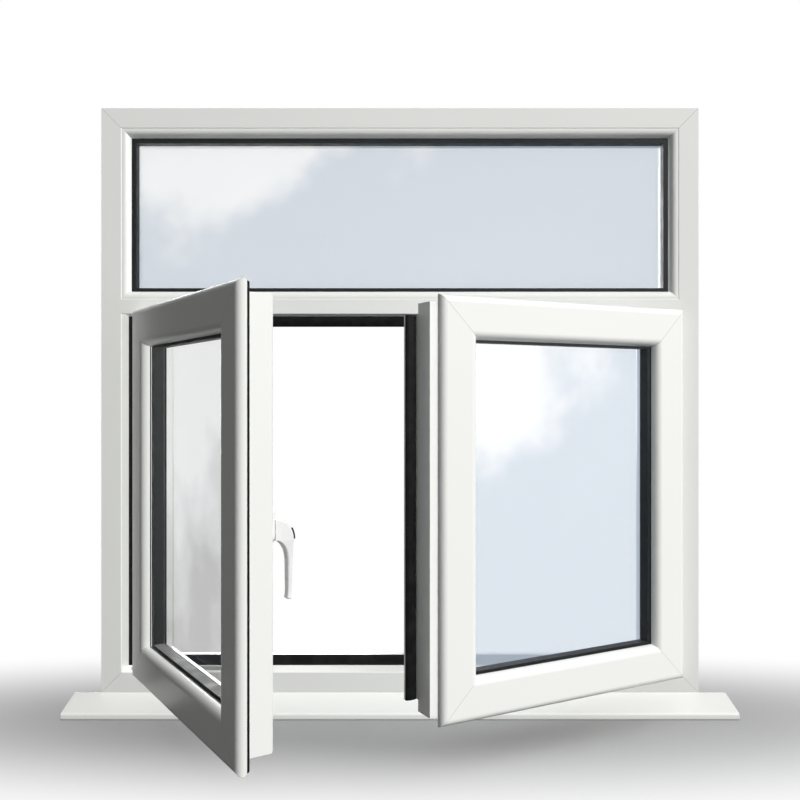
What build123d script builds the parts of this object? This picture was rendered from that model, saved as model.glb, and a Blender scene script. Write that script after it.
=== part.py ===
from math import cos, hypot, radians, sin
import os

from build123d import *

# French casement window: an outer frame on a cill, a fixed top light, and two side-hung leaves on
# friction stays that close on a flying mullion. Millimetres. X runs to the right seen from outside,
# Y into the room and Z up. The origin is on the cill's underside, in line with the frame's outside face.

os.makedirs("parts", exist_ok=True)

# Outer frame
frame_width = 1190.0
frame_height = 1164.0
frame_depth = 70.0
frame_face = 40.0
upstand_height = 20.0
upstand_depth = 23.0
frame_edge_round = 1.5

# Transom
transom_half = 15.0
lower_opening = 714.0
transom_notch_past = 5.0

# Cill
cill_height = 30.0
cill_projection = 75.0
cill_horn = 50.0
cill_nose_height = 14.0
cill_nose_round = 5.0
cill_drip_width = 5.0
cill_drip_depth = 3.0
cill_drip_setback = 12.0
cill_cap = 3.0

# Seals
seal = 4.0
seal_margin = 1.5
seal_gap = 1.0

# Glazed units: two panes with a spacer bar between them
pane = 4.0
cavity = 20.0
edge_clearance = 5.0
glazing_seal = 2.0
seal_width = 8.0
seal_lip = 0.5
spacer_width = 14.0

# Fixed top light, beaded from outside
bead_set_back = 1.0
bead_width = 16.0
bead_flat = 4.0
bead_mitre_gap = 0.2

# Leaves
leaf_overlap = 7.0
meeting_gap = 4.0
face_proud = 24.0
flange_round_width = 12.0
flange_round_depth = 13.0
flange_back_chamfer = 5.0
body_inset = 18.0
leaf_flat_end = 61.0
ovolo_width = 14.0
ovolo_depth = 16.0
glazing_floor = 55.0
body_round = 3.0
flange_seal_nose = 6.0
flange_seal_end = 12.0
flange_seal_bulge = 1.5
left_open_angle = 58.0
right_open_angle = 28.5

# Flying mullion on the right leaf
mullion_past_flange = 9.0
mullion_leg = 20.0
mullion_leg_depth = 10.0
mullion_end_clearance = 8.0
mullion_rear_clearance = 5.0
mullion_seat_step = 7.0
mullion_round = 3.0
mullion_cap = 3.0

# Friction stays: pins of the closed leaf, inset from the flange's edge and depth from its outside face
stay_leaf_inset = 57.0
stay_leaf_depth = 36.0
stay_frame_inset = 129.0
stay_frame_depth = 46.0
stay_ratio = 0.85
stay_track = 3.0
stay_link = 2.5
stay_bar = 4.0
stay_clearance = 0.5
stay_pin = 3.0
stay_pin_play = 0.05
stay_link_half = 8.0
stay_track_start = 20.0
stay_track_length = 190.0
stay_track_half = 9.0
stay_bar_start = 24.0
stay_bar_length = 230.0
stay_bar_half = 8.0
stay_screw = 2.1
stay_screw_head = 4.2
stay_track_pitch = 50.0
stay_bar_pitch = 45.0
stay_screws = 4

# Handle on the left leaf, its levels counted from the spindle
handle_inset = 42.0
handle_height = 416.0
handle_base_width = 22.0
handle_base_length = 58.0
handle_base_depth = 9.0
handle_base_rise = 7.0
handle_base_round = 2.5
handle_gap = 0.3
handle_dome_reach = 31.5
handle_dome_top = 15.0
handle_dome_drop = 18.0
handle_dome_half = 10.0
handle_edge_round = 2.5
handle_grip_drop = 110.0
handle_grip_sweep = 2.5
handle_grip_round = 3.0
handle_tip_round = 2.0

# Grip sections: shares of the way down the grip, of the dome's reach and of the dome's half width
handle_grip_sections = (
    (0.0, 0.94, 1.0),
    (0.06, 0.62, 0.96),
    (0.16, 0.41, 0.88),
    (0.32, 0.29, 0.8),
    (0.62, 0.25, 0.75),
    (1.0, 0.27, 0.85),
)

# Handle's push button
handle_button_proud = 3.5
handle_button_inset = 5.0
handle_button_half = 6.0
handle_button_play = 0.2

# Levels and reference lines that follow from the sizes
frame_bottom = cill_height
frame_middle = frame_bottom + frame_height / 2
frame_top = frame_bottom + frame_height
opening_half = frame_width / 2 - frame_face
rail_top = frame_bottom + frame_face
transom_low = rail_top + lower_opening
transom_middle = transom_low + transom_half
transom_high = transom_middle + transom_half
rebate_depth = frame_depth - upstand_depth
flange_depth = face_proud - seal - seal_gap
leaf_depth = face_proud + rebate_depth - seal - seal_gap
light_width = 2 * opening_half
light_height = frame_top - frame_face - transom_high
light_middle = transom_high + light_height / 2
leaf_edge = opening_half + leaf_overlap
leaf_width = leaf_edge - meeting_gap / 2
leaf_height = lower_opening + 2 * leaf_overlap
leaf_middle = rail_top + lower_opening / 2
leaf_sightline = leaf_flat_end + ovolo_width
unit_thickness = 2 * pane + cavity
light_pane_front = rebate_depth - glazing_seal - unit_thickness
light_bead_back = light_pane_front - glazing_seal
leaf_pane_front = ovolo_depth + glazing_seal
leaf_bead_front = leaf_pane_front + unit_thickness + glazing_seal
pane_edge = glazing_floor + edge_clearance

# Each side of a rectangular ring: the way inwards, the way it runs
SIDES = {
    "left": (Vector(1, 0, 0), Vector(0, 0, 1)),
    "right": (Vector(-1, 0, 0), Vector(0, 0, 1)),
    "top": (Vector(0, 0, -1), Vector(1, 0, 0)),
    "bottom": (Vector(0, 0, 1), Vector(1, 0, 0)),
}
DEPTHWARDS = Vector(0, 1, 0)


def local(base, origin, x_dir, z_dir):
    """The plane that has this origin and these directions in base's own coordinates."""
    return Plane(base.location * Plane(origin=origin, x_dir=x_dir, z_dir=z_dir).location)


def save(part, name):
    """Label a finished piece and write it."""
    part.label = name
    export_step(part, f"parts/{name}.step")


def ring_side(base, side, width, height, draw_section, mitre_gap=0.0):
    """One mitred side of a ring in base's XZ plane, its section drawn inwards and depthwards."""
    inward, run = SIDES[side]
    across = abs(inward.X) * width / 2 + abs(inward.Z) * height / 2
    half_run = abs(run.X) * width / 2 + abs(run.Z) * height / 2
    edge = inward * -across
    with BuildPart() as member:
        section = draw_section(local(base, edge, inward, inward.cross(DEPTHWARDS)))
        extrude(section, amount=half_run, both=True)
        for end in (run, -run):
            corner = edge + end * (half_run - mitre_gap)
            split(bisect_by=local(base, corner, DEPTHWARDS, -(inward + end)), keep=Keep.TOP)
    return member.part


def ring(base, width, height, draw_section):
    """A whole ring, its four mitred sides joined."""
    with BuildPart() as joined:
        for side in SIDES:
            add(ring_side(base, side, width, height, draw_section))
    return joined.part


def bead_ring(base, width, height, draw_section):
    """Four glazing beads that meet at their mitres without touching."""
    with BuildPart() as beads:
        for side in SIDES:
            add(ring_side(base, side, width, height, draw_section, bead_mitre_gap))
    return beads.part


def sheet(base, width, height, front, thickness):
    """A flat pane parallel to base's XZ plane."""
    with BuildPart() as glass:
        with BuildSketch(local(base, DEPTHWARDS * front, Vector(1, 0, 0), DEPTHWARDS)):
            Rectangle(width, height)
        extrude(amount=thickness)
    return glass.part


def block_section(plane, *blocks):
    """Rectangular sections for a ring, each between two distances inwards and two depths."""
    with BuildSketch(plane) as section:
        for inner, outer, front, back in blocks:
            with Locations(((inner + outer) / 2, (front + back) / 2)):
                Rectangle(outer - inner, back - front)
    return section.sketch


def bulb_section(plane, inner, outer, foot, height):
    """A seal's section: a flat foot and a half-round nose that stands off it by this height."""
    middle = (inner + outer) / 2
    with BuildSketch(plane) as section:
        with BuildLine():
            Line((inner, foot), (outer, foot))
            ThreePointArc((outer, foot), (middle, foot + height), (inner, foot))
        make_face()
    return section.sketch


# Outer frame: four mitred members with the upstand on the room side
def frame_section(plane):
    """The outer frame's L: its face inwards, its upstand on the room side."""
    with BuildSketch(plane) as section:
        with BuildLine():
            Polyline(
                (0, 0),
                (frame_face, 0),
                (frame_face, rebate_depth),
                (frame_face + upstand_height, rebate_depth),
                (frame_face + upstand_height, frame_depth),
                (0, frame_depth),
                close=True,
            )
        make_face()
    return section.sketch


frame_base = Plane((0, 0, frame_middle))

for side, name in (("top", "frame_head"), ("bottom", "frame_bottom_rail")):
    with BuildPart() as rail:
        add(ring_side(frame_base, side, frame_width, frame_height, frame_section))
        front_edges = rail.edges().filter_by(Axis.X).group_by(Axis.Y)[0].sort_by(Axis.Z)
        fillet(front_edges[0 if side == "top" else -1], frame_edge_round)
    save(rail.part, name)

v_tip = opening_half + transom_half
v_reach = upstand_height + transom_half + transom_notch_past

for side, sign in (("left", -1), ("right", 1)):
    with BuildPart() as jamb:
        add(ring_side(frame_base, side, frame_width, frame_height, frame_section))
        front_edges = jamb.edges().filter_by(Axis.Z).group_by(Axis.Y)[0].sort_by(Axis.X)
        fillet(front_edges[0 if sign > 0 else -1], frame_edge_round)
        with BuildSketch(Plane((0, 0, transom_middle), x_dir=(1, 0, 0), z_dir=(0, 1, 0))):
            with BuildLine():
                Polyline(
                    (sign * v_tip, 0),
                    (sign * (v_tip - v_reach), v_reach),
                    (sign * (v_tip - v_reach), -v_reach),
                    close=True,
                )
            make_face()
        extrude(amount=frame_depth, mode=Mode.SUBTRACT)
    save(jamb.part, f"frame_jamb_{side}")

with BuildPart() as transom:
    with BuildSketch(Plane((0, 0, transom_middle), x_dir=(0, 0, 1), z_dir=(-1, 0, 0))):
        with BuildLine():
            Polyline(
                (-transom_half, 0),
                (transom_half, 0),
                (transom_half, rebate_depth),
                (transom_half + upstand_height, rebate_depth),
                (transom_half + upstand_height, frame_depth),
                (-transom_half - upstand_height, frame_depth),
                (-transom_half - upstand_height, rebate_depth),
                (-transom_half, rebate_depth),
                close=True,
            )
        make_face()
    extrude(amount=v_tip, both=True)
    fillet(transom.edges().filter_by(Axis.X).group_by(Axis.Y)[0], frame_edge_round)
    for end in (-1, 1):
        for slope in (-1, 1):
            tip = Plane((end * v_tip, 0, transom_middle), x_dir=(0, 1, 0), z_dir=(-end, 0, slope))
            split(bisect_by=tip, keep=Keep.TOP)
save(transom.part, "transom")

# Cill: it carries the frame and runs on in front of it, with a horn past each jamb
def cill_front_section(plane):
    """The part of the cill in front of the frame, sloped to shed water."""
    with BuildSketch(plane) as section:
        with BuildLine():
            Polyline(
                (0, 0),
                (0, cill_height),
                (-cill_projection, cill_nose_height),
                (-cill_projection, 0),
                close=True,
            )
        make_face()
    return section.sketch


cill_half = frame_width / 2 + cill_horn

with BuildPart() as cill:
    extrude(cill_front_section(Plane.YZ), amount=cill_half, both=True)
    fillet(cill.edges().filter_by(Axis.X).group_by(Axis.Y)[0], cill_nose_round)
    with BuildSketch(Plane.YZ):
        with Locations((-cill_projection + cill_drip_setback, cill_drip_depth / 2)):
            Rectangle(cill_drip_width, cill_drip_depth)
    extrude(amount=cill_half, both=True, mode=Mode.SUBTRACT)
    with BuildSketch(Plane.YZ):
        with Locations((frame_depth / 2, cill_height / 2)):
            Rectangle(frame_depth, cill_height)
    extrude(amount=frame_width / 2, both=True)
save(cill.part, "cill")

for side, sign in (("left", -1), ("right", 1)):
    with BuildPart() as cap:
        end_face = Plane(origin=(sign * cill_half, 0, 0), x_dir=(0, 1, 0), z_dir=(1, 0, 0))
        extrude(cill_front_section(end_face), amount=sign * cill_cap)
        fillet(cap.edges().filter_by(Axis.X).group_by(Axis.Y)[0], cill_nose_round)
    save(cap.part, f"cill_end_cap_{side}")

# Weather seal on the front of the upstands, all round the lower opening
leaf_opening = Plane((0, 0, leaf_middle))
frame_seal = ring(
    leaf_opening,
    light_width,
    lower_opening,
    lambda plane: bulb_section(plane, seal_margin, upstand_height - seal_margin, rebate_depth, -seal),
)
save(frame_seal, "frame_weather_seal")

# Fixed top light, glazed straight into the frame and beaded from outside
light_base = Plane((0, 0, light_middle))
light_pane_width = light_width - 2 * edge_clearance
light_pane_height = light_height - 2 * edge_clearance
light_spacer_edge = 2 * edge_clearance


def light_bead_section(plane):
    """The outside bead of the top light: a narrow flat and an ovolo."""
    with BuildSketch(plane) as section:
        with BuildLine():
            Line((0, bead_set_back), (bead_flat, bead_set_back))
            EllipticalCenterArc(
                (bead_flat, light_bead_back),
                bead_width - bead_flat,
                light_bead_back - bead_set_back,
                270,
                arc_size=90,
            )
            Polyline((bead_width, light_bead_back), (0, light_bead_back), (0, bead_set_back))
        make_face()
    return section.sketch


def light_spacer_section(plane):
    """The spacer bar between the top light's panes."""
    front = light_pane_front + pane
    return block_section(
        plane, (light_spacer_edge, light_spacer_edge + spacer_width, front, front + cavity)
    )


def light_seal_section(plane):
    """The seals on both sides of the top light's unit."""
    return block_section(
        plane,
        (bead_width - seal_width, bead_width + seal_lip, light_bead_back, light_pane_front),
        (
            upstand_height - seal_width,
            upstand_height + seal_lip,
            rebate_depth - glazing_seal,
            rebate_depth,
        ),
    )


save(bead_ring(light_base, light_width, light_height, light_bead_section), "top_light_beads")
save(
    sheet(light_base, light_pane_width, light_pane_height, light_pane_front, pane),
    "top_light_outer_pane",
)
save(
    sheet(light_base, light_pane_width, light_pane_height, light_pane_front + pane + cavity, pane),
    "top_light_inner_pane",
)
save(
    ring(
        light_base,
        light_width,
        light_height,
        light_spacer_section,
    ),
    "top_light_spacer",
)
save(ring(light_base, light_width, light_height, light_seal_section), "top_light_seals")


# Leaves
def swing(vector, angle):
    """Turn a vector of the section plane the way a leaf opens, in degrees."""
    u, n = vector
    c, s = cos(radians(angle)), sin(radians(angle))
    return (u * c + n * s, n * c - u * s)


def to_world(sign, u, n):
    """The X and Y of a point given from the closed leaf's flange edge and outside face."""
    return (sign * (leaf_edge - u), n - face_proud)


def leaf_pivot(sign, opening):
    """The pin that joins link and leaf, with the leaf open by this angle."""
    closed_arm = (stay_leaf_inset - stay_frame_inset, stay_leaf_depth - stay_frame_depth)
    arm = swing(closed_arm, -stay_ratio * opening)
    return (stay_frame_inset + arm[0], stay_frame_depth + arm[1])


def leaf_plane(sign, opening):
    """Plane at the middle of an open leaf's outside face: x along its width, y through its depth."""
    pin = leaf_pivot(sign, opening)
    arm = swing((leaf_width / 2 - stay_leaf_inset, -stay_leaf_depth), opening)
    x, y = to_world(sign, pin[0] + arm[0], pin[1] + arm[1])
    along = (-sign * cos(radians(opening)), -sin(radians(opening)), 0)
    return Plane(origin=(x, y, leaf_middle), x_dir=along, z_dir=(0, 0, -sign))


def leaf_section(plane):
    """A leaf member: rounded flange, body and the ovolo that holds the glass."""
    with BuildSketch(plane) as section:
        with BuildLine():
            EllipticalCenterArc(
                (flange_round_width, flange_round_depth),
                flange_round_width,
                flange_round_depth,
                180,
                arc_size=90,
            )
            Line((flange_round_width, 0), (leaf_flat_end, 0))
            EllipticalCenterArc((leaf_flat_end, ovolo_depth), ovolo_width, ovolo_depth, 270, arc_size=90)
            Polyline(
                (leaf_sightline, ovolo_depth),
                (glazing_floor, ovolo_depth),
                (glazing_floor, leaf_depth),
                (body_inset + body_round, leaf_depth),
                (body_inset, leaf_depth - body_round),
                (body_inset, flange_depth),
                (flange_back_chamfer, flange_depth),
                (0, flange_round_depth),
            )
        make_face()
    return section.sketch


def leaf_bead_section(plane):
    """The bead on the leaf's room side."""
    with BuildSketch(plane) as section:
        with BuildLine():
            EllipticalCenterArc(
                (leaf_flat_end, leaf_bead_front), ovolo_width, leaf_depth - leaf_bead_front, 0, arc_size=90
            )
            Polyline(
                (leaf_flat_end, leaf_depth),
                (glazing_floor, leaf_depth),
                (glazing_floor, leaf_bead_front),
                (leaf_sightline, leaf_bead_front),
            )
        make_face()
    return section.sketch


def glazing_seal_section(plane):
    """The seals on both sides of a leaf's unit."""
    inner, outer = leaf_sightline - seal_width, leaf_sightline + seal_lip
    return block_section(
        plane,
        (inner, outer, ovolo_depth, leaf_pane_front),
        (inner, outer, leaf_bead_front - glazing_seal, leaf_bead_front),
    )


def leaf_spacer_section(plane):
    """The spacer bar between a leaf's panes."""
    edge = pane_edge + edge_clearance
    front = leaf_pane_front + pane
    return block_section(plane, (edge, edge + spacer_width, front, front + cavity))


def flange_seal_section(plane):
    """The seal that covers the flange's back chamfer and presses on the frame's face."""
    nose_depth = flange_depth + seal
    lip = (
        flange_seal_nose / 2 - flange_seal_bulge,
        (flange_round_depth + nose_depth) / 2 + flange_seal_bulge / 2,
    )
    heel = (flange_seal_end - flange_seal_bulge, nose_depth - flange_seal_bulge)
    with BuildSketch(plane) as section:
        with BuildLine():
            ThreePointArc((0, flange_round_depth), lip, (flange_seal_nose, nose_depth))
            ThreePointArc((flange_seal_nose, nose_depth), heel, (flange_seal_end, flange_depth))
            Polyline(
                (flange_seal_end, flange_depth),
                (flange_back_chamfer, flange_depth),
                (0, flange_round_depth),
            )
        make_face()
    return section.sketch


def sash_bars(base):
    """The stay bars on the leaf's top and bottom edges, each with the pin that the link turns on."""
    bar_face = leaf_height / 2 - body_inset
    with BuildPart() as bars:
        for end in (-1, 1):
            edge = Vector(-leaf_width / 2, 0, end * bar_face)
            plane = local(base, edge, Vector(1, 0, 0), Vector(0, 0, 1))
            with BuildSketch(plane):
                with Locations((stay_bar_start + stay_bar_length / 2, stay_leaf_depth)):
                    SlotOverall(stay_bar_length, 2 * stay_bar_half)
            extrude(amount=end * stay_bar)
            with BuildSketch(plane):
                with Locations((stay_leaf_inset, stay_leaf_depth)):
                    Circle(stay_pin)
            extrude(amount=end * (stay_bar + stay_clearance + stay_link))
            outer_face = Vector(stay_bar_start + stay_bar_length / 2, stay_leaf_depth, end * stay_bar)
            with Locations(local(plane, outer_face, Vector(1, 0, 0), Vector(0, 0, end))):
                with GridLocations(stay_bar_pitch, 1, stay_screws, 1):
                    CounterSinkHole(stay_screw, stay_screw_head, stay_bar)
    return bars.part


def build_leaf(side, sign, opening):
    """Every piece of one leaf but its handle and mullion."""
    base = leaf_plane(sign, opening)
    upper, lower = ("top", "bottom") if base.z_dir.Z > 0 else ("bottom", "top")
    members = {"left": "hinge_stile", "right": "lock_stile", upper: "top_rail", lower: "bottom_rail"}
    for edge, member in members.items():
        save(ring_side(base, edge, leaf_width, leaf_height, leaf_section), f"{side}_leaf_{member}")
    pane_width = leaf_width - 2 * pane_edge
    pane_height = leaf_height - 2 * pane_edge
    back_pane = leaf_pane_front + pane + cavity
    save(sheet(base, pane_width, pane_height, leaf_pane_front, pane), f"{side}_leaf_outer_pane")
    save(sheet(base, pane_width, pane_height, back_pane, pane), f"{side}_leaf_inner_pane")
    save(ring(base, leaf_width, leaf_height, leaf_spacer_section), f"{side}_leaf_spacer")
    save(bead_ring(base, leaf_width, leaf_height, leaf_bead_section), f"{side}_leaf_beads")
    save(ring(base, leaf_width, leaf_height, glazing_seal_section), f"{side}_leaf_glazing_seals")
    save(ring(base, leaf_width, leaf_height, flange_seal_section), f"{side}_leaf_weather_seal")
    save(sash_bars(base), f"{side}_leaf_stay_bars")


build_leaf("left", -1, left_open_angle)
build_leaf("right", 1, right_open_angle)


# Friction stays: a track plate on the frame, a link, and the bar on the leaf
def build_stay(side, sign, opening):
    """A leaf's track plates with their fixed pins, and the links that turn on them."""
    pin = leaf_pivot(sign, opening)
    turned = to_world(sign, pin[0], pin[1])
    fixed = to_world(sign, stay_frame_inset, stay_frame_depth)
    link_length = hypot(turned[0] - fixed[0], turned[1] - fixed[1])
    link_dir = (turned[0] - fixed[0], turned[1] - fixed[1], 0)
    track_middle = to_world(sign, stay_track_start + stay_track_length / 2, stay_frame_depth)
    with BuildPart() as tracks:
        for level, up in ((rail_top, 1), (transom_low, -1)):
            with BuildSketch(Plane.XY.offset(level)):
                with Locations(track_middle):
                    SlotOverall(stay_track_length, 2 * stay_track_half)
            extrude(amount=up * stay_track)
            with BuildSketch(Plane.XY.offset(level)):
                with Locations(fixed):
                    Circle(stay_pin)
            extrude(amount=up * (stay_track + stay_clearance + stay_link))
            outer_face = (*track_middle, level + up * stay_track)
            with Locations(Plane(outer_face, x_dir=(1, 0, 0), z_dir=(0, 0, up))):
                with GridLocations(stay_track_pitch, 1, stay_screws, 1):
                    CounterSinkHole(stay_screw, stay_screw_head, stay_track)
    save(tracks.part, f"{side}_stay_tracks")
    with BuildPart() as links:
        for level, up in ((rail_top, 1), (transom_low, -1)):
            height = level + up * (stay_track + stay_clearance)
            with BuildSketch(Plane(origin=(fixed[0], fixed[1], height), x_dir=link_dir, z_dir=(0, 0, 1))):
                with Locations((link_length / 2, 0)):
                    SlotCenterToCenter(link_length, 2 * stay_link_half)
                with Locations((0, 0), (link_length, 0)):
                    Circle(stay_pin + stay_pin_play, mode=Mode.SUBTRACT)
            extrude(amount=up * stay_link)
    save(links.part, f"{side}_stay_links")


build_stay("left", -1, left_open_angle)
build_stay("right", 1, right_open_angle)

# Flying mullion: it closes against the left leaf and travels with the right one
right_base = leaf_plane(1, right_open_angle)
mullion_side = leaf_width + mullion_past_flange
mullion_root = leaf_width - body_inset
leg_front = face_proud + rebate_depth
mullion_seat = leg_front - mullion_seat_step
leg_back = leg_front + mullion_leg_depth
leg_tip = mullion_side + mullion_leg
mullion_back = face_proud + frame_depth
mullion_half = lower_opening / 2 - mullion_end_clearance
mullion_rear_half = lower_opening / 2 - upstand_height - mullion_rear_clearance
mullion_plane = local(right_base, Vector(-leaf_width / 2, 0, 0), Vector(1, 0, 0), Vector(0, 0, 1))


def mullion_front_section(plane):
    """The part of the flying mullion beside its leaf."""
    return block_section(plane, (mullion_root, mullion_side, face_proud, mullion_seat))


with BuildPart() as flying_mullion:
    extrude(mullion_front_section(mullion_plane), amount=mullion_half, both=True)
    with BuildSketch(mullion_plane):
        with BuildLine():
            Polyline(
                (mullion_root, mullion_seat),
                (mullion_side, mullion_seat),
                (mullion_side, leg_front),
                (leg_tip, leg_front),
                (leg_tip, leg_back - mullion_round),
                (leg_tip - mullion_round, leg_back),
                (mullion_side, leg_back),
                (mullion_side, mullion_back - mullion_round),
                (mullion_side - mullion_round, mullion_back),
                (mullion_root + mullion_round, mullion_back),
                (mullion_root, mullion_back - mullion_round),
                close=True,
            )
        make_face()
    extrude(amount=mullion_rear_half, both=True)
save(flying_mullion.part, "flying_mullion")

with BuildPart() as mullion_seal:
    leg_seal = bulb_section(
        mullion_plane,
        mullion_side + seal_margin,
        leg_tip - seal_margin,
        leg_front,
        -seal,
    )
    extrude(leg_seal, amount=mullion_rear_half, both=True)
save(mullion_seal.part, "flying_mullion_seal")

with BuildPart() as mullion_caps:
    for end in (-1, 1):
        end_face = mullion_plane.offset(end * mullion_half)
        extrude(mullion_front_section(end_face), amount=end * mullion_cap)
save(mullion_caps.part, "flying_mullion_end_caps")

# Handle on the left leaf's room side, next to the meeting stile
left_base = leaf_plane(-1, left_open_angle)
handle_origin = Vector(leaf_width / 2 - handle_inset, leaf_depth, handle_height - leaf_middle)
handle_plane = local(left_base, handle_origin, Vector(-1, 0, 0), DEPTHWARDS)
handle_side = local(handle_plane, Vector(0, 0, 0), Vector(0, 0, 1), Vector(-1, 0, 0))

with BuildPart() as handle_base:
    with BuildSketch(handle_plane):
        with Locations((0, handle_base_rise)):
            SlotOverall(handle_base_length, handle_base_width, rotation=90)
    extrude(amount=handle_base_depth)
    fillet(
        handle_base.faces().sort_by(Axis(handle_plane.origin, handle_plane.z_dir))[-1].edges(),
        handle_base_round,
    )
save(handle_base.part, "handle_base")

lever_start = handle_base_depth + handle_gap
lever_front = lever_start + handle_dome_reach
grip_length = handle_grip_drop - handle_dome_drop
dome_height = handle_dome_top + handle_dome_drop
pocket_floor = lever_front - handle_button_inset


def dome_section(plane, proud):
    """The lever's root from the side: a quarter ellipse that stands this far off the dome."""
    with BuildSketch(plane) as section:
        with BuildLine():
            EllipticalCenterArc(
                (lever_start, -handle_dome_drop),
                handle_dome_reach + proud,
                dome_height + proud,
                0,
                arc_size=90,
            )
            Polyline(
                (lever_start, handle_dome_top + proud),
                (lever_start, -handle_dome_drop),
                (lever_front + proud, -handle_dome_drop),
            )
        make_face()
    return section.sketch


with BuildPart() as dome:
    extrude(dome_section(handle_side, 0), amount=handle_dome_half, both=True)
    fillet(dome.edges().filter_by(GeomType.ELLIPSE), handle_edge_round)

with BuildPart() as grip:
    for down, reach, half in handle_grip_sections:
        depth = reach * handle_dome_reach
        front = lever_front - down * handle_grip_sweep
        level = -handle_dome_drop - down * grip_length
        middle = Vector(0, level, front - depth / 2)
        with BuildSketch(local(handle_plane, middle, Vector(1, 0, 0), Vector(0, -1, 0))):
            RectangleRounded(half * 2 * handle_dome_half, depth, handle_grip_round)
    loft()
    fillet(grip.faces().sort_by(Axis.Z)[0].edges(), handle_tip_round)

with BuildPart() as handle_lever:
    add(dome.part)
    add(grip.part)
    with BuildSketch(handle_side):
        with Locations((pocket_floor + dome_height / 2, -handle_dome_drop / 2)):
            Rectangle(dome_height, handle_dome_drop)
    extrude(amount=handle_button_half + handle_button_play, both=True, mode=Mode.SUBTRACT)
save(handle_lever.part, "handle_lever")

with BuildPart() as handle_button:
    extrude(dome_section(handle_side, handle_button_proud), amount=handle_button_half, both=True)
    with BuildSketch(handle_side):
        with Locations((pocket_floor + dome_height / 2, -handle_dome_drop / 2)):
            Rectangle(dome_height, handle_dome_drop - 2 * handle_button_play)
    extrude(amount=handle_button_half, both=True, mode=Mode.INTERSECT)
save(handle_button.part, "handle_button")
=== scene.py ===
"""French casement window: its finishes, its small hardware and the studio that it stands in."""

import logging
import math
from dataclasses import dataclass
from enum import Enum

import bmesh
import bpy
from mathutils import Matrix, Vector


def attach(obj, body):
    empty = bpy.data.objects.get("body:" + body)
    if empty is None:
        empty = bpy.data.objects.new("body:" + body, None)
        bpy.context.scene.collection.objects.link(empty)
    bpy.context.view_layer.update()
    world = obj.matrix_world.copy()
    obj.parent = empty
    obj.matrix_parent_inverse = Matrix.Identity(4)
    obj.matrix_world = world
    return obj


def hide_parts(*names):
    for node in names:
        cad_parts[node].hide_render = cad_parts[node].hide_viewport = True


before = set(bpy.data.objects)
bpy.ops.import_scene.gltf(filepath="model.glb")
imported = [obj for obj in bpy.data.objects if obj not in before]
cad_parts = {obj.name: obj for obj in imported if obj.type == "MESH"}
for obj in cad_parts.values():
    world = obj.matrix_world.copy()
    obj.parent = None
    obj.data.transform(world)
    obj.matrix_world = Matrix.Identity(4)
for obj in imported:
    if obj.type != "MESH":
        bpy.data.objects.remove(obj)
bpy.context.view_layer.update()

LOG = logging.getLogger("window")

Colour = tuple[float, float, float]
Triple = tuple[float, float, float]
Point = tuple[float, float]
Span = tuple[float, float]
Stops = list[tuple[float, Colour]]

# The range that most of a noise lies in, and a round piece's steps in one turn
NOISE_RANGE: Span = (0.3, 0.7)
TURN_STEPS = 24

# The corners of a rectangle in their order round it, as signs of X and Z
CORNERS: tuple[Point, ...] = ((1, 1), (-1, 1), (-1, -1), (1, -1))


class Side(Enum):
    """Which leaf, seen from outside, with the sign of its jamb on X."""

    LEFT = -1
    RIGHT = 1

    @property
    def word(self) -> str:
        """The side's name as the pieces carry it."""
        return self.name.lower()


class Face(Enum):
    """A face of a profile that a weld line crosses: outside or towards the room."""

    OUTSIDE = -1
    ROOM = 1


class Blend(Enum):
    """How a ramp goes from one colour into the next."""

    EVEN = "LINEAR"
    SOFT = "EASE"


class NodeTree:
    """A small helper that adds nodes to a material's or a world's tree and joins them."""

    def __init__(self, owner: bpy.types.Material | bpy.types.World) -> None:
        """Turn on the owner's nodes.

        Args:
            owner: the material or world that holds the tree.
        """
        owner.use_nodes = True
        self.tree = owner.node_tree

    def add(self, kind: str, **values: object) -> bpy.types.Node:
        """Add a node.

        Args:
            kind: Blender's node type.
            values: sockets by name with underscores for spaces, or the node's own settings.

        Returns:
            The new node.
        """
        node = self.tree.nodes.new(kind)
        for key, value in values.items():
            socket = node.inputs.get(key.replace("_", " "))
            if socket is None:
                setattr(node, key, value)
            elif isinstance(value, bpy.types.NodeSocket):
                self.tree.links.new(value, socket)
            else:
                socket.default_value = value
        return node

    def link(self, source: bpy.types.NodeSocket, node: bpy.types.Node, socket: str | int) -> None:
        """Join an output to a node's input."""
        self.tree.links.new(source, node.inputs[socket])


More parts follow.
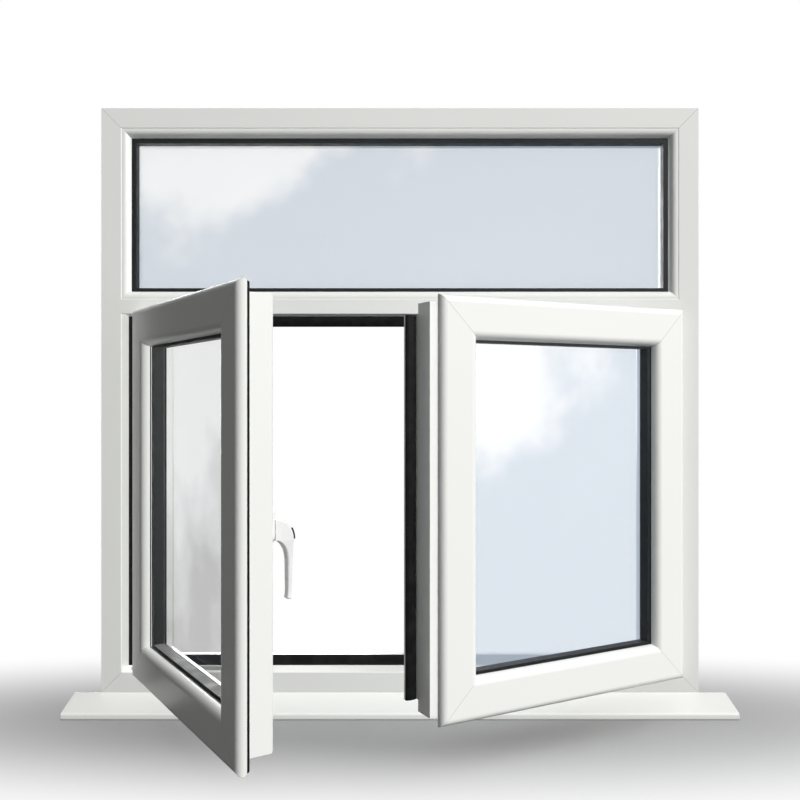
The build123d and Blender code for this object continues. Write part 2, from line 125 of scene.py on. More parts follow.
class FinishNodes(NodeTree):
    """The node tree of one new material, with the patterns that the finishes share."""

    def __init__(self, name: str) -> None:
        """Make the material.

        Args:
            name: the material's name.
        """
        self.material = bpy.data.materials.new(name)
        super().__init__(self.material)
        self.shader = self.tree.nodes["Principled BSDF"]

    def place(self) -> bpy.types.NodeSocket:
        """The surface point in the object's own metres."""
        return self.add("ShaderNodeTexCoord").outputs["Object"]

    def noise(
        self, scale: float, detail: float = 4.0, stretch: Triple = (1.0, 1.0, 1.0)
    ) -> bpy.types.NodeSocket:
        """Noise over the surface.

        Args:
            scale: how many waves a metre holds.
            detail: how many finer layers it has.
            stretch: a factor for each axis.

        Returns:
            The noise's value, about 0 to 1.
        """
        mapping = self.add("ShaderNodeMapping", Vector=self.place(), Scale=stretch)
        texture = self.add("ShaderNodeTexNoise", Vector=mapping.outputs[0], Scale=scale, Detail=detail)
        return texture.outputs["Fac"]

    def ramp(
        self, value: bpy.types.NodeSocket, stops: Stops, blend: Blend = Blend.EVEN
    ) -> bpy.types.NodeSocket:
        """Colours along a value.

        Args:
            value: the value that picks the colour.
            stops: places and colours, lowest first, two of them.
            blend: how one colour goes over into the next.

        Returns:
            The colour.
        """
        node = self.add("ShaderNodeValToRGB", Fac=value)
        node.color_ramp.interpolation = blend.value
        for element, (place, colour) in zip(node.color_ramp.elements, stops):
            element.position = place
            element.color = (*colour, 1.0)
        return node.outputs["Color"]

    def mottle(self, value: bpy.types.NodeSocket, deep: Colour, pale: Colour) -> None:
        """Colour the surface from deep to pale over a noise's middle range."""
        low, high = NOISE_RANGE
        self.link(self.ramp(value, [(low, deep), (high, pale)]), self.shader, "Base Color")

    def roughen(self, value: bpy.types.NodeSocket, roughness: Span) -> None:
        """Vary the surface's roughness over a noise's middle range.

        Args:
            value: the noise.
            roughness: the lowest and the highest roughness.
        """
        node = self.add(
            "ShaderNodeMapRange", Value=value,
            From_Min=NOISE_RANGE[0], From_Max=NOISE_RANGE[1], To_Min=roughness[0], To_Max=roughness[1],
        )
        self.link(node.outputs["Result"], self.shader, "Roughness")

    def emboss(self, height: bpy.types.NodeSocket, distance: float, strength: float) -> bpy.types.Node:
        """Bump the surface.

        Args:
            height: the value that lifts it.
            distance: how far a value of one lifts it, in metres.
            strength: how much of that shows, 0 to 1.

        Returns:
            The bump node.
        """
        bump = self.add("ShaderNodeBump", Height=height, Distance=distance, Strength=strength)
        self.link(bump.outputs[0], self.shader, "Normal")
        return bump


@dataclass(frozen=True)
class MouldedPlastic:
    """Extruded or moulded plastic with a faint flow texture and softened edges."""

    name: str
    pale: Colour
    deep: Colour
    roughness: Span = (0.22, 0.27)
    mottle_scale: float = 3.0
    gloss_scale: float = 40.0
    grain_scale: float = 1400.0
    grain_height: float = 0.000006
    grain_strength: float = 0.25
    edge_radius: float = 0.0008
    edge_samples: int = 4
    specular: float = 0.5

    def material(self) -> bpy.types.Material:
        """Build the node material.

        Returns:
            The material.
        """
        nodes = FinishNodes(self.name)
        nodes.mottle(nodes.noise(self.mottle_scale, detail=1.0), self.deep, self.pale)
        nodes.roughen(nodes.noise(self.gloss_scale), self.roughness)
        nodes.shader.inputs["Specular IOR Level"].default_value = self.specular
        grain = nodes.noise(self.grain_scale, detail=2.0)
        bump = nodes.emboss(grain, self.grain_height, self.grain_strength)
        edge = nodes.add("ShaderNodeBevel", samples=self.edge_samples, Radius=self.edge_radius)
        nodes.link(edge.outputs[0], bump, "Normal")
        return nodes.material


@dataclass(frozen=True)
class SoftSeal:
    """Extruded rubber: nearly black, with a little dust and a faint grain."""

    name: str = "seal_rubber"
    clean: Colour = (0.003, 0.003, 0.0035)
    dusty: Colour = (0.011, 0.011, 0.012)
    dust_range: Span = (0.4, 0.8)
    dust_scale: float = 60.0
    roughness: Span = (0.45, 0.65)
    gloss_scale: float = 120.0
    specular: float = 0.15
    grain_scale: float = 700.0
    grain_height: float = 0.0001
    grain_strength: float = 0.3

    def material(self) -> bpy.types.Material:
        """Build the node material.

        Returns:
            The material.
        """
        nodes = FinishNodes(self.name)
        low, high = self.dust_range
        dust = nodes.ramp(nodes.noise(self.dust_scale), [(low, self.clean), (high, self.dusty)])
        nodes.link(dust, nodes.shader, "Base Color")
        nodes.shader.inputs["Specular IOR Level"].default_value = self.specular
        nodes.roughen(nodes.noise(self.gloss_scale), self.roughness)
        nodes.emboss(nodes.noise(self.grain_scale), self.grain_height, self.grain_strength)
        return nodes.material


@dataclass(frozen=True)
class PaintedSkyReflectionGlass:
    """Float glass with a painted reflection of a soft sky, with a bank of cloud on one side.

    A noise and a slope across the pane add up, and the sum says where sky ends and cloud
    begins. The slope is nothing at the shore and grows along the bank. The cover is the
    share of light that sky and cloud stop at each surface.
    """

    name: str
    cover: Span
    shore: Triple
    bank: Triple
    sky: Colour = (0.569, 0.651, 0.743)
    cloud: Colour = (0.975, 0.988, 1.0)
    cloud_scale: float = 4.0
    cloud_range: Span = (0.38, 0.66)
    roughness: Span = (0.06, 0.1)
    gloss_scale: float = 15.0

    def material(self) -> bpy.types.Material:
        """Build the node material.

        Returns:
            The material.
        """
        nodes = FinishNodes(self.name)
        offset = nodes.add("ShaderNodeVectorMath", operation="SUBTRACT", Vector=nodes.place())
        offset.inputs[1].default_value = self.shore
        slope = nodes.add("ShaderNodeVectorMath", operation="DOT_PRODUCT", Vector=offset.outputs[0])
        slope.inputs[1].default_value = self.bank
        clouds = nodes.add("ShaderNodeMath", operation="ADD", Value=nodes.noise(self.cloud_scale))
        nodes.link(slope.outputs["Value"], clouds, 1)
        low, high = self.cloud_range
        # Painted reflection: the sky and cloud colours stand in for the sky that the glass reflects.
        painted_reflection = nodes.ramp(clouds.outputs[0], [(low, self.sky), (high, self.cloud)], Blend.SOFT)
        nodes.link(painted_reflection, nodes.shader, "Base Color")
        nodes.roughen(nodes.noise(self.gloss_scale), self.roughness)
        sky_cover, cloud_cover = self.cover
        if sky_cover == cloud_cover:
            nodes.shader.inputs["Alpha"].default_value = sky_cover
        else:
            alpha = nodes.add(
                "ShaderNodeMapRange", Value=clouds.outputs[0],
                From_Min=low, From_Max=high, To_Min=sky_cover, To_Max=cloud_cover,
            )
            nodes.link(alpha.outputs["Result"], nodes.shader, "Alpha")
        return nodes.material


@dataclass(frozen=True)
class BrushedSteel:
    """Bare metal with fine lengthwise brushing, as the stays have it and, finer, the screws."""

    name: str = "stay_stainless"
    deep: Colour = (0.4, 0.4, 0.41)
    pale: Colour = (0.62, 0.62, 0.63)
    roughness: Span = (0.25, 0.42)
    grain_scale: float = 300.0
    grain_stretch: Triple = (0.08, 1.0, 1.0)
    grain_height: float = 0.00005
    grain_strength: float = 0.3

    def material(self) -> bpy.types.Material:
        """Build the node material.

        Returns:
            The material.
        """
        nodes = FinishNodes(self.name)
        grain = nodes.noise(self.grain_scale, detail=3.0, stretch=self.grain_stretch)
        nodes.mottle(grain, self.deep, self.pale)
        nodes.roughen(grain, self.roughness)
        nodes.shader.inputs["Metallic"].default_value = 1.0
        nodes.emboss(grain, self.grain_height, self.grain_strength)
        return nodes.material


class Finishes:
    """Every finish of the window, each made once."""

    def __init__(self) -> None:
        """Build the materials."""
        self.profile = MouldedPlastic(
            "profile_white", pale=(0.822, 0.828, 0.8), deep=(0.807, 0.813, 0.785)
        ).material()
        self.weld = MouldedPlastic(
            "weld_line", pale=(0.55, 0.56, 0.57), deep=(0.45, 0.46, 0.47),
            roughness=(0.35, 0.5), edge_radius=0.0001,
        ).material()
        self.spacer = MouldedPlastic(
            "spacer_charcoal", pale=(0.018, 0.019, 0.021), deep=(0.011, 0.012, 0.013),
            roughness=(0.4, 0.6), specular=0.3,
        ).material()
        self.handle = MouldedPlastic(
            "handle_powder_coat", pale=(0.8, 0.8, 0.795), deep=(0.76, 0.76, 0.755),
            roughness=(0.25, 0.34), grain_scale=1500.0, grain_height=0.00004,
        ).material()
        self.button = MouldedPlastic(
            "button_graphite", pale=(0.02, 0.02, 0.022), deep=(0.01, 0.01, 0.011),
            roughness=(0.3, 0.45), specular=0.3,
        ).material()
        self.seal = SoftSeal().material()
        self.steel = BrushedSteel().material()
        self.screw = BrushedSteel("screw_zinc", grain_scale=700.0).material()
        # Each pane's colour is a painted reflection of sky and cloud: lighter towards the top on the left
        # leaf, faint on the outer pane.
        self.top_light_glass = PaintedSkyReflectionGlass(
            "top_light_glass_sky", cover=(0.38, 0.38), shore=(-0.2, 0, 1.066), bank=(-0.5, 0, 1.6)
        ).material()
        left_glass = PaintedSkyReflectionGlass(
            "left_leaf_glass_sky", cover=(0.26, 0.08), shore=(-0.4, 0, 0.37), bank=(0, 0, 1.0),
            sky=(0.12, 0.14, 0.16), cloud=(0.6, 0.8, 1.0),
        ).material()
        right_glass = PaintedSkyReflectionGlass(
            "right_leaf_glass_sky", cover=(0.38, 0.38), shore=(0.22, 0, 0.56), bank=(-1.1, 0, 1.0)
        ).material()
        self.leaf_glass = {Side.LEFT: left_glass, Side.RIGHT: right_glass}
        self.outer_glass = PaintedSkyReflectionGlass(
            "outer_glass_clear", cover=(0.03, 0.03), shore=(0, 0, 0.6), bank=(0, 0, 0.5),
            sky=(0.02, 0.03, 0.035), cloud=(0.12, 0.14, 0.15),
        ).material()


def mesh_piece(
    name: str, mesh: bmesh.types.BMesh, body: str, material: bpy.types.Material
) -> bpy.types.Object:
    """Turn a bmesh into a piece that rides on a body.

    Args:
        name: the piece's name.
        mesh: its shape in row metres.
        body: the body it moves with.
        material: its finish.

    Returns:
        The new object.
    """
    data = bpy.data.meshes.new(name)
    bmesh.ops.recalc_face_normals(mesh, faces=mesh.faces)
    mesh.to_mesh(data)
    mesh.free()
    piece = bpy.data.objects.new(name, data)
    bpy.context.scene.collection.objects.link(piece)
    data.materials.append(material)
    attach(piece, body)
    LOG.info("built %s: %d faces", name, len(data.polygons))
    return piece


def row(mesh: bmesh.types.BMesh, matrix: Matrix, places: list[Triple]) -> list[bmesh.types.BMVert]:
    """Add a row of vertices, each at its place by the matrix."""
    return [mesh.verts.new(matrix @ Vector(place)) for place in places]


def join_rows(
    mesh: bmesh.types.BMesh, first: list[bmesh.types.BMVert], second: list[bmesh.types.BMVert],
    closed: bool = True,
) -> None:
    """Close the strip between two rows with faces.

    Args:
        mesh: the bmesh that takes them.
        first: one row of vertices.
        second: the other row, as long as the first.
        closed: whether the rows are loops.
    """
    for k in range(0 if closed else 1, len(first)):
        mesh.faces.new((first[k - 1], first[k], second[k], second[k - 1]))


def arc_points(centre: Point, radii: Point, start: float, count: int) -> list[Point]:
    """Points over a quarter of an ellipse.

    Args:
        centre: its centre.
        radii: half its width and half its depth.
        start: the angle it starts at, in degrees.
        count: how many steps it has.

    Returns:
        The points, start to end.
    """
    angles = [math.radians(start + 90 * k / count) for k in range(count + 1)]
    return [(centre[0] + radii[0] * math.cos(a), centre[1] + radii[1] * math.sin(a)) for a in angles]


def circle_places(radius: float, height: float) -> list[Triple]:
    """Places round a circle about Z, at a height."""
    angles = [2 * math.pi * k / TURN_STEPS for k in range(TURN_STEPS)]
    return [(radius * math.cos(a), radius * math.sin(a), height) for a in angles]


def bulb_section(start: float, end: float, foot: float, nose: float, count: int) -> list[Point]:
    """A seal's section: a flat foot and a half-elliptic nose.

    Args:
        start: where it begins, inwards.
        end: where it ends, inwards.
        foot: the depth that its foot lies at.
        nose: how far its nose stands off the foot, towards the outside where it is negative.
        count: how many steps the nose has.

    Returns:
        The section's points, start to end.
    """
    middle, half = (start + end) / 2, (end - start) / 2
    angles = [math.pi * k / count for k in range(count + 1)]
    return [(middle - half * math.cos(a), foot + nose * math.sin(a)) for a in angles]


def corner_place(size: Point, corner: Point, insets: Point, depth: float) -> Triple:
    """A place near a rectangle's corner, inset from its upright and its level side."""
    return corner[0] * (size[0] / 2 - insets[0]), depth, corner[1] * (size[1] / 2 - insets[1])


def mitred_ring(mesh: bmesh.types.BMesh, size: Point, section: list[Point], matrix: Matrix) -> None:
    """Run a closed section round a rectangle, mitred at the corners, and add its skin to a mesh.

    Args:
        mesh: the bmesh that takes it.
        size: the rectangle's width and height.
        section: points inwards from the rectangle and depthwards.
        matrix: the rectangle's middle, X along its width and Y through its depth.
    """
    rows = [
        row(mesh, matrix, [corner_place(size, corner, (inset, inset), depth) for inset, depth in section])
        for corner in CORNERS
    ]
    for k, first in enumerate(rows):
        join_rows(mesh, first, rows[(k + 1) % len(rows)])


@dataclass
class WeldLines:
    """The weld lines that cross a mitred ring's corners, as low ridges that follow the profile.

    A ridge has one foot on each of the two members and its crest over the mitre.
    """

    size: Point
    matrix: Matrix
    ridge: float = 0.0009
    proud: float = 0.00006

    def add(self, mesh: bmesh.types.BMesh, outline: list[Point], face: Face) -> None:
        """Lay one ridge over each corner.

        Args:
            mesh: the bmesh that takes them.
            outline: points of the profile, inwards and depthwards, in metres.
            face: which way the outline looks.
        """
        foot = self.ridge / math.sqrt(2)
        last = len(outline) - 1
        for corner in CORNERS:
            rows = []
            for k, (inset, depth) in enumerate(outline):
                before, after = outline[max(k - 1, 0)], outline[min(k + 1, last)]
                run, fall = after[0] - before[0], after[1] - before[1]
                lift = -face.value * self.proud / math.hypot(run, fall)
                crest = inset + fall * lift
                rows.append(row(mesh, self.matrix, [
                    corner_place(self.size, corner, (inset + foot, inset), depth),
                    corner_place(self.size, corner, (crest, crest), depth - run * lift),
                    corner_place(self.size, corner, (inset, inset + foot), depth),
                ]))
            for first, second in zip(rows, rows[1:]):
                join_rows(mesh, first, second, closed=False)


@dataclass(frozen=True)
class CrossHeadScrew:
    """A countersunk screw head with a cross recess, its rim just under the plate's face."""

    head: float = 0.0039
    shank: float = 0.0022
    depth: float = 0.0018
    sunk: float = 0.00015
    cross: float = 0.0022
    slot: float = 0.0005
    recess: float = 0.0009

    def cross_outline(self) -> list[Point]:
        """The recess's outline, seen from above.

        Returns:
            The twelve corners of the cross.
        """
        far, near = self.cross, self.slot
        arm = [(far, -near), (far, near), (near, near)]
        outline = []
        for c, s in ((1, 0), (0, 1), (-1, 0), (0, -1)):
            outline += [(x * c - y * s, x * s + y * c) for x, y in arm]
        return outline

    def add(self, mesh: bmesh.types.BMesh, matrix: Matrix) -> None:
        """Add one head.

        Args:
            mesh: the bmesh that takes it.
            matrix: the plate's face at the screw, Z pointing out.
        """
        top = -self.sunk
        rim = row(mesh, matrix, circle_places(self.head, top))
        foot = row(mesh, matrix, circle_places(self.shank, -self.depth))
        outline = self.cross_outline()
        lip = row(mesh, matrix, [(x, y, top) for x, y in outline])
        bed = row(mesh, matrix, [(x, y, top - self.recess) for x, y in outline])
        join_rows(mesh, rim, foot)
        join_rows(mesh, lip, bed)
        mesh.faces.new(bed)
        mesh.faces.new(foot)
        edges = [mesh.edges.get((ring[k - 1], ring[k])) for ring in (rim, lip) for k in range(len(ring))]
        bmesh.ops.triangle_fill(mesh, edges=edges, use_beauty=True)


@dataclass(frozen=True)
class RivetHead:
    """The low dome of a riveted pin."""

    radius: float = 0.0042
    height: float = 0.0007
    crown: float = 0.0004
    steps: int = 5

    def add(self, mesh: bmesh.types.BMesh, matrix: Matrix) -> None:
        """Add one head.

        Args:
            mesh: the bmesh that takes it.
            matrix: the plane that its foot stands on, Z pointing out.
        """
        angles = [math.radians(90 * k / self.steps) for k in range(self.steps, -1, -1)]
        dome = [(self.crown + self.radius * math.cos(a), self.height * math.sin(a)) for a in angles]
        rows = [row(mesh, matrix, circle_places(radius, height)) for radius, height in dome]
        for low, high in zip(rows, rows[1:]):
            join_rows(mesh, low, high)
        mesh.faces.new(rows[0])
        mesh.faces.new(rows[-1])


@dataclass
class SubAssembly:
    """Pieces of the window that belong together, with the finishes that they share."""

    finishes: Finishes

    def pieces(self) -> dict[str, bpy.types.Material]:
        """The CAD nodes and the finish of each."""
        return {}

    def dress(self) -> None:
        """Give every CAD node its finish."""
        for node, material in self.pieces().items():
            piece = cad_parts[node]
            piece.data.materials.clear()
            piece.data.materials.append(material)
            LOG.info("dressed %s", node)

    def build(self) -> None:
        """Add what the CAD model leaves out, where there is anything."""


@dataclass
class OuterFrame(SubAssembly):
    """Frame, transom, cill and the seal on the upstands."""

    width: float = 1.190
    height: float = 1.164
    base: float = 0.030
    face: float = 0.040
    upstand: float = 0.020
    depth: float = 0.070
    opening: float = 0.714
    rebate: float = 0.047
    seal_start: float = 0.0002
    seal_lip: float = 0.002
    seal_nose: float = 0.004
    seal_steps: int = 12
    weld_insets: Span = (0.0015, 0.0016)
    room_weld_inset: float = 0.0005
    members: tuple[str, ...] = (
        "frame_head", "frame_bottom_rail", "frame_jamb_left", "frame_jamb_right", "transom",
    )
    cill_pieces: tuple[str, ...] = ("cill", "cill_end_cap_left", "cill_end_cap_right")

    def pieces(self) -> dict[str, bpy.types.Material]:
        """The CAD nodes and the finish of each."""
        white = {node: self.finishes.profile for node in self.members + self.cill_pieces}
        return white | {"frame_weather_seal": self.finishes.seal}

    def upstand_seal(self) -> None:
        """Add the seal that covers the upstands round the lower opening, with a lip past their edge."""
        mesh = bmesh.new()
        section = bulb_section(
            self.seal_start, self.upstand + self.seal_lip, self.rebate, -self.seal_nose, self.seal_steps
        )
        middle = Matrix.Translation((0, 0, self.base + self.face + self.opening / 2))
        mitred_ring(mesh, (self.width - 2 * self.face, self.opening), section, middle)
        piece = mesh_piece("frame_upstand_seal", mesh, "frame", self.finishes.seal)
        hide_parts("frame_weather_seal")

    def weld_lines(self) -> None:
        """Add the weld lines at the corners, on both faces of the frame."""
        mesh = bmesh.new()
        lines = WeldLines((self.width, self.height), Matrix.Translation((0, 0, self.base + self.height / 2)))
        outside = [(self.weld_insets[0], 0.0), (self.face - self.weld_insets[1], 0.0)]
        room_end = self.face + self.upstand - self.room_weld_inset
        room = [(self.room_weld_inset, self.depth), (room_end, self.depth)]
        lines.add(mesh, outside, Face.OUTSIDE)
        lines.add(mesh, room, Face.ROOM)
        mesh_piece("frame_weld_lines", mesh, "frame", self.finishes.weld)

    def hold_back_bounce(self) -> None:
        """Keep the cill from lighting the rail above it, which the photograph shows in shade."""
        for node in self.cill_pieces:
            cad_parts[node].visible_diffuse = False

    def build(self) -> None:
        """Add the seal on the upstands and the weld lines, and shade the rail."""
        self.upstand_seal()
        self.weld_lines()
        self.hold_back_bounce()


@dataclass
class TopLight(SubAssembly):
    """The fixed glazed panel above the transom."""

    def pieces(self) -> dict[str, bpy.types.Material]:
        """The CAD nodes and the finish of each.

        Returns:
            The finishes by node.
        """
        return {
            "top_light_beads": self.finishes.profile,
            "top_light_seals": self.finishes.seal,
            "top_light_spacer": self.finishes.spacer,
            "top_light_inner_pane": self.finishes.top_light_glass,
            "top_light_outer_pane": self.finishes.outer_glass,
        }


@dataclass
class Leaf(SubAssembly):
    """One opening leaf with its glazed unit, seals and stay bars."""

    side: Side
    opening: float
    width: float = 0.560
    height: float = 0.728
    middle: float = 0.427
    edge: float = 0.562
    proud: float = 0.024
    depth: float = 0.066
    body_inset: float = 0.018
    pivot: Point = (0.057, 0.036)
    fixed_pivot: Point = (0.129, 0.046)
    link_ratio: float = 0.85
    bar_middle: float = 0.139
    bar_depth: float = 0.004
    screw_steps: tuple[float, ...] = (-0.0675, -0.0225, 0.0225, 0.0675)
    flange_round: Point = (0.012, 0.013)
    flat_end: float = 0.061
    ovolo: Point = (0.014, 0.016)
    weld_steps: int = 14
    room_weld: Span = (0.0215, 0.0545)
    flange: float = 0.019
    seal_foot: Point = (0.004, 0.0178)
    seal_span: Span = (0.004, 0.012)
    seal_nose: float = 0.004
    seal_steps: int = 8
    members: tuple[str, ...] = ("top_rail", "bottom_rail", "hinge_stile", "lock_stile", "beads")

    @property
    def body(self) -> str:
        """The body that the leaf's pieces ride on."""
        return f"{self.side.word}_leaf"

    def matrix(self) -> Matrix:
        """Where the leaf stands: x along its width, y through its depth.

        Returns:
            The matrix from the leaf's own metres to the row's.
        """
        def turned(u: float, n: float, angle: float) -> Point:
            """Turn a vector of the section plane the way the leaf opens."""
            c, s = math.cos(math.radians(angle)), math.sin(math.radians(angle))
            return u * c + n * s, n * c - u * s

        closed_arm = (self.pivot[0] - self.fixed_pivot[0], self.pivot[1] - self.fixed_pivot[1])
        arm = turned(*closed_arm, -self.link_ratio * self.opening)
        out = turned(self.width / 2 - self.pivot[0], -self.pivot[1], self.opening)
        u = self.fixed_pivot[0] + arm[0] + out[0]
        n = self.fixed_pivot[1] + arm[1] + out[1]
        sign = self.side.value
        c, s = math.cos(math.radians(self.opening)), math.sin(math.radians(self.opening))
        along, inwards, up = (-sign * c, -s, 0), (-sign * s, c, 0), (0, 0, -sign)
        turn = Matrix((along, inwards, up)).transposed().to_4x4()
        return Matrix.Translation((sign * (self.edge - u), n - self.proud, self.middle)) @ turn

    def pieces(self) -> dict[str, bpy.types.Material]:
        """The CAD nodes and the finish of each.

        Returns:
            The finishes by node.
        """
        white = {f"{self.body}_{part}": self.finishes.profile for part in self.members}
        return white | {
            f"{self.body}_glazing_seals": self.finishes.seal,
            f"{self.body}_weather_seal": self.finishes.seal,
            f"{self.body}_spacer": self.finishes.spacer,
            f"{self.body}_inner_pane": self.finishes.leaf_glass[self.side],
            f"{self.body}_outer_pane": self.finishes.outer_glass,
            f"{self.body}_stay_bars": self.finishes.steel,
        }

    def weld_lines(self) -> None:
        """Add the weld lines at the corners, over the flange's round edge and the ovolo."""
        mesh = bmesh.new()
        lines = WeldLines((self.width, self.height), self.matrix())
        flange_edge = arc_points(self.flange_round, self.flange_round, 180, self.weld_steps)
        glass_edge = arc_points((self.flat_end, self.ovolo[1]), self.ovolo, 270, self.weld_steps)
        room = [(inset, self.depth) for inset in self.room_weld]
        lines.add(mesh, flange_edge + glass_edge, Face.OUTSIDE)
        lines.add(mesh, room, Face.ROOM)
        mesh_piece(f"{self.body}_weld_lines", mesh, self.body, self.finishes.weld)

    def flange_seal(self) -> None:
        """Add the bulb seal behind the flange, as a mitred ring that stands for the plain CAD one."""
        mesh = bmesh.new()
        bulb = bulb_section(*self.seal_span, self.flange, self.seal_nose, self.seal_steps)
        mitred_ring(mesh, (self.width, self.height), [self.seal_foot] + bulb, self.matrix())
        piece = mesh_piece(f"{self.body}_flange_seal", mesh, self.body, self.finishes.seal)
        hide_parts(f"{self.body}_weather_seal")

    def bar_screws(self) -> None:
        """Add the screws that hold the stay bars."""
        mesh = bmesh.new()
        screw = CrossHeadScrew()
        face = self.height / 2 - self.body_inset + self.bar_depth
        for end in (-1, 1):
            flip = Matrix.Rotation(math.pi if end < 0 else 0.0, 4, "X")
            for step in self.screw_steps:
                place = (-self.width / 2 + self.bar_middle + step, self.pivot[1], end * face)
                screw.add(mesh, self.matrix() @ Matrix.Translation(place) @ flip)
        mesh_piece(f"{self.body}_bar_screws", mesh, self.body, self.finishes.screw)

    def build(self) -> None:
        """Add the weld lines, the flange's seal and the stay bars' screws."""
        self.weld_lines()
        self.flange_seal()
        self.bar_screws()


@dataclass
class FlyingMullion(SubAssembly):
    """The mullion that travels with the right leaf."""

    leaf: Leaf
    seal_span: Span = (0.5692, 0.5905)
    leg_depth: float = 0.071
    seal_nose: float = 0.004
    seal_steps: int = 12
    half_height: float = 0.332

    def pieces(self) -> dict[str, bpy.types.Material]:
        """The CAD nodes and the finish of each.

        Returns:
            The finishes by node.
        """
        return {
            "flying_mullion": self.finishes.profile,
            "flying_mullion_end_caps": self.finishes.profile,
            "flying_mullion_seal": self.finishes.seal,
        }

    def build(self) -> None:
        """Add the seal that covers the leg which the left leaf shuts on."""
        mesh = bmesh.new()
        section = bulb_section(*self.seal_span, self.leg_depth, -self.seal_nose, self.seal_steps)
        matrix = self.leaf.matrix() @ Matrix.Translation((-self.leaf.width / 2, 0, 0))
        low, high = (
            row(mesh, matrix, [(along, depth, height) for along, depth in section])
            for height in (-self.half_height, self.half_height)
        )
        join_rows(mesh, low, high)
        mesh.faces.new(low)
        mesh.faces.new(high)
        piece = mesh_piece("flying_mullion_leg_seal", mesh, "right_leaf", self.finishes.seal)
        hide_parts("flying_mullion_seal")


@dataclass
class FrictionStay(SubAssembly):
    """A leaf's track plates and links."""

    side: Side
    edge: float = 0.562
    proud: float = 0.024
    pivot: Point = (0.129, 0.046)
    track_middle: float = 0.115
    levels: Span = (0.070, 0.784)
    track: float = 0.003
    pin: float = 0.006
    screw_steps: tuple[float, ...] = (-0.075, -0.025, 0.025, 0.075)

    def pieces(self) -> dict[str, bpy.types.Material]:
        """The CAD nodes and the finish of each."""
        return {f"{self.side.word}_stay_{part}": self.finishes.steel for part in ("tracks", "links")}

    def build(self) -> None:
        """Add the track screws and the rivet heads on the fixed pins."""
        mesh = bmesh.new()
        screw, rivet = CrossHeadScrew(), RivetHead()
        sign = self.side.value
        y = self.pivot[1] - self.proud
        for level, up in zip(self.levels, (1, -1)):
            flip = Matrix.Rotation(math.pi if up < 0 else 0.0, 4, "X")
            for step in self.screw_steps:
                x = sign * (self.edge - self.track_middle) + step
                screw.add(mesh, Matrix.Translation((x, y, level + up * self.track)) @ flip)
            x = sign * (self.edge - self.pivot[0])
            rivet.add(mesh, Matrix.Translation((x, y, level + up * self.pin)) @ flip)
        mesh_piece(f"{self.side.word}_stay_fixings", mesh, "frame", self.finishes.screw)


@dataclass
class Handle(SubAssembly):
    """The lever handle on the left leaf."""

    leaf: Leaf
    inset: float = 0.042
    height: float = 0.416
    washer_span: Span = (0.00903, 0.00927)
    half_width: float = 0.0097
    top: float = 0.0147
    bottom: float = -0.0177
    corner: float = 0.003
    corner_steps: int = 4

    def pieces(self) -> dict[str, bpy.types.Material]:
        """The CAD nodes and the finish of each.

        Returns:
            The finishes by node.
        """
        return {
            "handle_base": self.finishes.handle,
            "handle_lever": self.finishes.handle,
            "handle_button": self.finishes.button,
        }

    def build(self) -> None:
        """Add the dark washer that shows as a line between base and lever."""
        mesh = bmesh.new()
        spindle = (self.leaf.width / 2 - self.inset, self.leaf.depth, self.height - self.leaf.middle)
        matrix = self.leaf.matrix() @ Matrix.Translation(spindle)
        middle = (self.top + self.bottom) / 2
        reach, rise = self.half_width - self.corner, (self.top - self.bottom) / 2 - self.corner
        outline = []
        for k, (sx, sz) in enumerate(CORNERS):
            centre = (sx * reach, middle + sz * rise)
            outline += arc_points(centre, (self.corner, self.corner), 90 * k, self.corner_steps)
        near, far = (row(mesh, matrix, [(x, y, z) for x, z in outline]) for y in self.washer_span)
        join_rows(mesh, near, far)
        mesh.faces.new(near)
        mesh.faces.new(far)
        mesh_piece("handle_washer", mesh, "handle", self.finishes.button)


@dataclass(frozen=True)
class SoftBox:
    """A large lamp that looks at the window's middle and casts no shadow."""

    name: str
    place: Triple
    size: float
    power: float
    aim: Triple = (0.0, 0.0, 0.6)

    def hang(self, unlit: bpy.types.Collection) -> None:
        """Hang the lamp.

        Args:
            unlit: what it doesn't light.
        """
        data = bpy.data.lights.new(self.name, "AREA")
        data.size = self.size
        data.energy = self.power
        data.use_shadow = False
        light = bpy.data.objects.new(self.name, data)
        light.location = self.place
        way = Vector(self.aim) - Vector(self.place)
        light.rotation_euler = way.to_track_quat("-Z", "Y").to_euler()
        light.light_linking.receiver_collection = unlit
        bpy.context.scene.collection.objects.link(light)


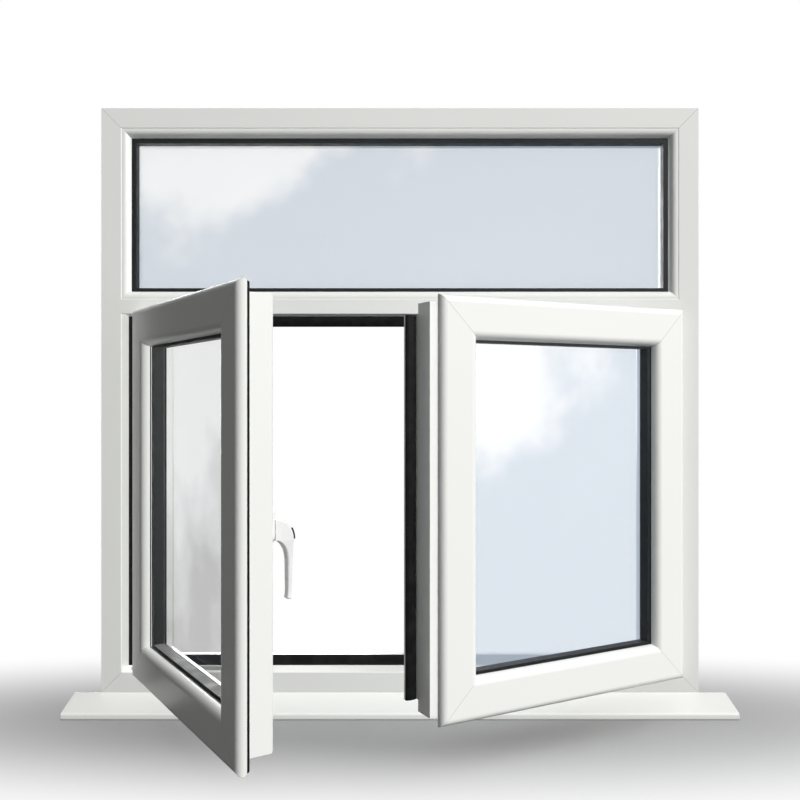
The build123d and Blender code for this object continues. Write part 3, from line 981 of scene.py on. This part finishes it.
@dataclass
class Studio:
    """A plain pale floor, even light, two soft boxes and the photograph's camera.

    The even light is a little stronger along key_way. The floor takes the window's real soft
    shadow inside a painted shade pool about it, and fades to the white background past the pool's edge.
    """

    camera_place: Triple = (0.0, -1.769, 0.6125)
    lens: float = 39.95
    sensor: float = 36.0
    key_way: Triple = (0.1, -0.02, 0.14)
    mean_light: float = 0.23
    darkest: float = 0.02
    shade_pool_offset: Triple = (0.0, 0.1, 0.0)
    shade_pool_scale: Triple = (0.55, 2.0, 1.0)
    shade_pool_edge: Span = (0.2, 0.95)
    floor_reach: float = 60.0
    floor_tone: Colour = (0.8, 0.8, 0.8)
    near_glow: float = 0.1
    lamps: tuple[SoftBox, ...] = (
        SoftBox("key_softbox", (9.3, -7.6, 7.8), 6.0, 2350.0),
        SoftBox("room_softbox", (-2.8, 11.0, 2.2), 5.0, 760.0),
    )

    def floor_material(self) -> bpy.types.Material:
        """Make the floor's finish: a painted shade pool by the window, pale and glowing little, then glowing
        as white as the background.

        Returns:
            The material.
        """
        nodes = FinishNodes("studio_floor_painted_shade_pool")
        # Painted shade: the floor is pale and glows little in a pool about the window, and glows white past
        # it.
        reach = nodes.add(
            "ShaderNodeMapping", Vector=nodes.place(), Location=self.shade_pool_offset, Scale=self.shade_pool_scale
        )
        distance = nodes.add("ShaderNodeVectorMath", operation="LENGTH", Vector=reach.outputs[0])
        low, high = self.shade_pool_edge
        fade = nodes.add(
            "ShaderNodeMapRange", interpolation_type="SMOOTHSTEP", Value=distance.outputs["Value"],
            From_Min=low, From_Max=high,
        )
        white = fade.outputs["Result"]
        tone = nodes.ramp(white, [(0.0, self.floor_tone), (1.0, (0.0, 0.0, 0.0))])
        nodes.link(tone, nodes.shader, "Base Color")
        glow = nodes.add("ShaderNodeMapRange", Value=white, To_Min=self.near_glow)
        nodes.shader.inputs["Emission Color"].default_value = (1, 1, 1, 1)
        nodes.link(glow.outputs["Result"], nodes.shader, "Emission Strength")
        nodes.shader.inputs["Roughness"].default_value = 1.0
        nodes.shader.inputs["Specular IOR Level"].default_value = 0.0
        return nodes.material

    def floor(self) -> bpy.types.Object:
        """Lay a floor that takes shadows, fades to white, and lends the window no light of its own.

        Returns:
            The floor.
        """
        mesh = bmesh.new()
        bmesh.ops.create_grid(mesh, x_segments=1, y_segments=1, size=self.floor_reach)
        data = bpy.data.meshes.new("studio_floor")
        mesh.to_mesh(data)
        mesh.free()
        floor = bpy.data.objects.new("studio_floor", data)
        bpy.context.scene.collection.objects.link(floor)
        floor.visible_diffuse = False
        floor.visible_glossy = False
        data.materials.append(self.floor_material())
        return floor

    def world(self) -> None:
        """Light the scene evenly, a little more from the upper right, before a white background."""
        world = bpy.data.worlds.new("studio_light")
        bpy.context.scene.world = world
        nodes = NodeTree(world)
        way = nodes.add("ShaderNodeTexCoord").outputs["Generated"]
        lean = nodes.add("ShaderNodeVectorMath", operation="DOT_PRODUCT", Vector=way)
        lean.inputs[1].default_value = self.key_way
        shade = nodes.add("ShaderNodeMath", operation="ADD", Value=lean.outputs["Value"])
        shade.inputs[1].default_value = self.mean_light
        strength = nodes.add("ShaderNodeMath", operation="MAXIMUM", Value=shade.outputs[0])
        strength.inputs[1].default_value = self.darkest
        light = nodes.add("ShaderNodeBackground", Strength=strength.outputs[0])
        background = nodes.tree.nodes["Background"]
        background.inputs["Color"].default_value = (1, 1, 1, 1)
        background.inputs["Strength"].default_value = 1.0
        mix = nodes.add("ShaderNodeMixShader")
        nodes.link(nodes.add("ShaderNodeLightPath").outputs["Is Camera Ray"], mix, 0)
        nodes.link(light.outputs[0], mix, 1)
        nodes.link(background.outputs[0], mix, 2)
        nodes.link(mix.outputs[0], nodes.tree.nodes["World Output"], "Surface")

    def camera(self) -> None:
        """Set the camera at the photograph's view."""
        data = bpy.data.cameras.new("photo_camera")
        data.lens = self.lens
        data.sensor_width = self.sensor
        camera = bpy.data.objects.new("photo_camera", data)
        camera.location = self.camera_place
        camera.rotation_euler = (math.pi / 2, 0, 0)
        bpy.context.scene.collection.objects.link(camera)
        bpy.context.scene.camera = camera

    def build(self) -> None:
        """Set up the whole studio, with a floor that the soft boxes leave out."""
        unlit = bpy.data.collections.new("lamps_leave_out")
        unlit.objects.link(self.floor())
        unlit.collection_objects[0].light_linking.link_state = "EXCLUDE"
        self.world()
        for lamp in self.lamps:
            lamp.hang(unlit)
        self.camera()
        bpy.context.scene.view_settings.view_transform = "Standard"


def main() -> None:
    """Build the window's dressed model and its studio."""
    logging.basicConfig(level=logging.INFO)
    finishes = Finishes()
    Studio().build()
    left_leaf = Leaf(finishes, Side.LEFT, opening=58.0)
    right_leaf = Leaf(finishes, Side.RIGHT, opening=28.5)
    assemblies = (
        OuterFrame(finishes),
        TopLight(finishes),
        left_leaf,
        right_leaf,
        FlyingMullion(finishes, right_leaf),
        FrictionStay(finishes, Side.LEFT),
        FrictionStay(finishes, Side.RIGHT),
        Handle(finishes, left_leaf),
    )
    for assembly in assemblies:
        assembly.dress()
        assembly.build()


if __name__ == "__main__":
    main()
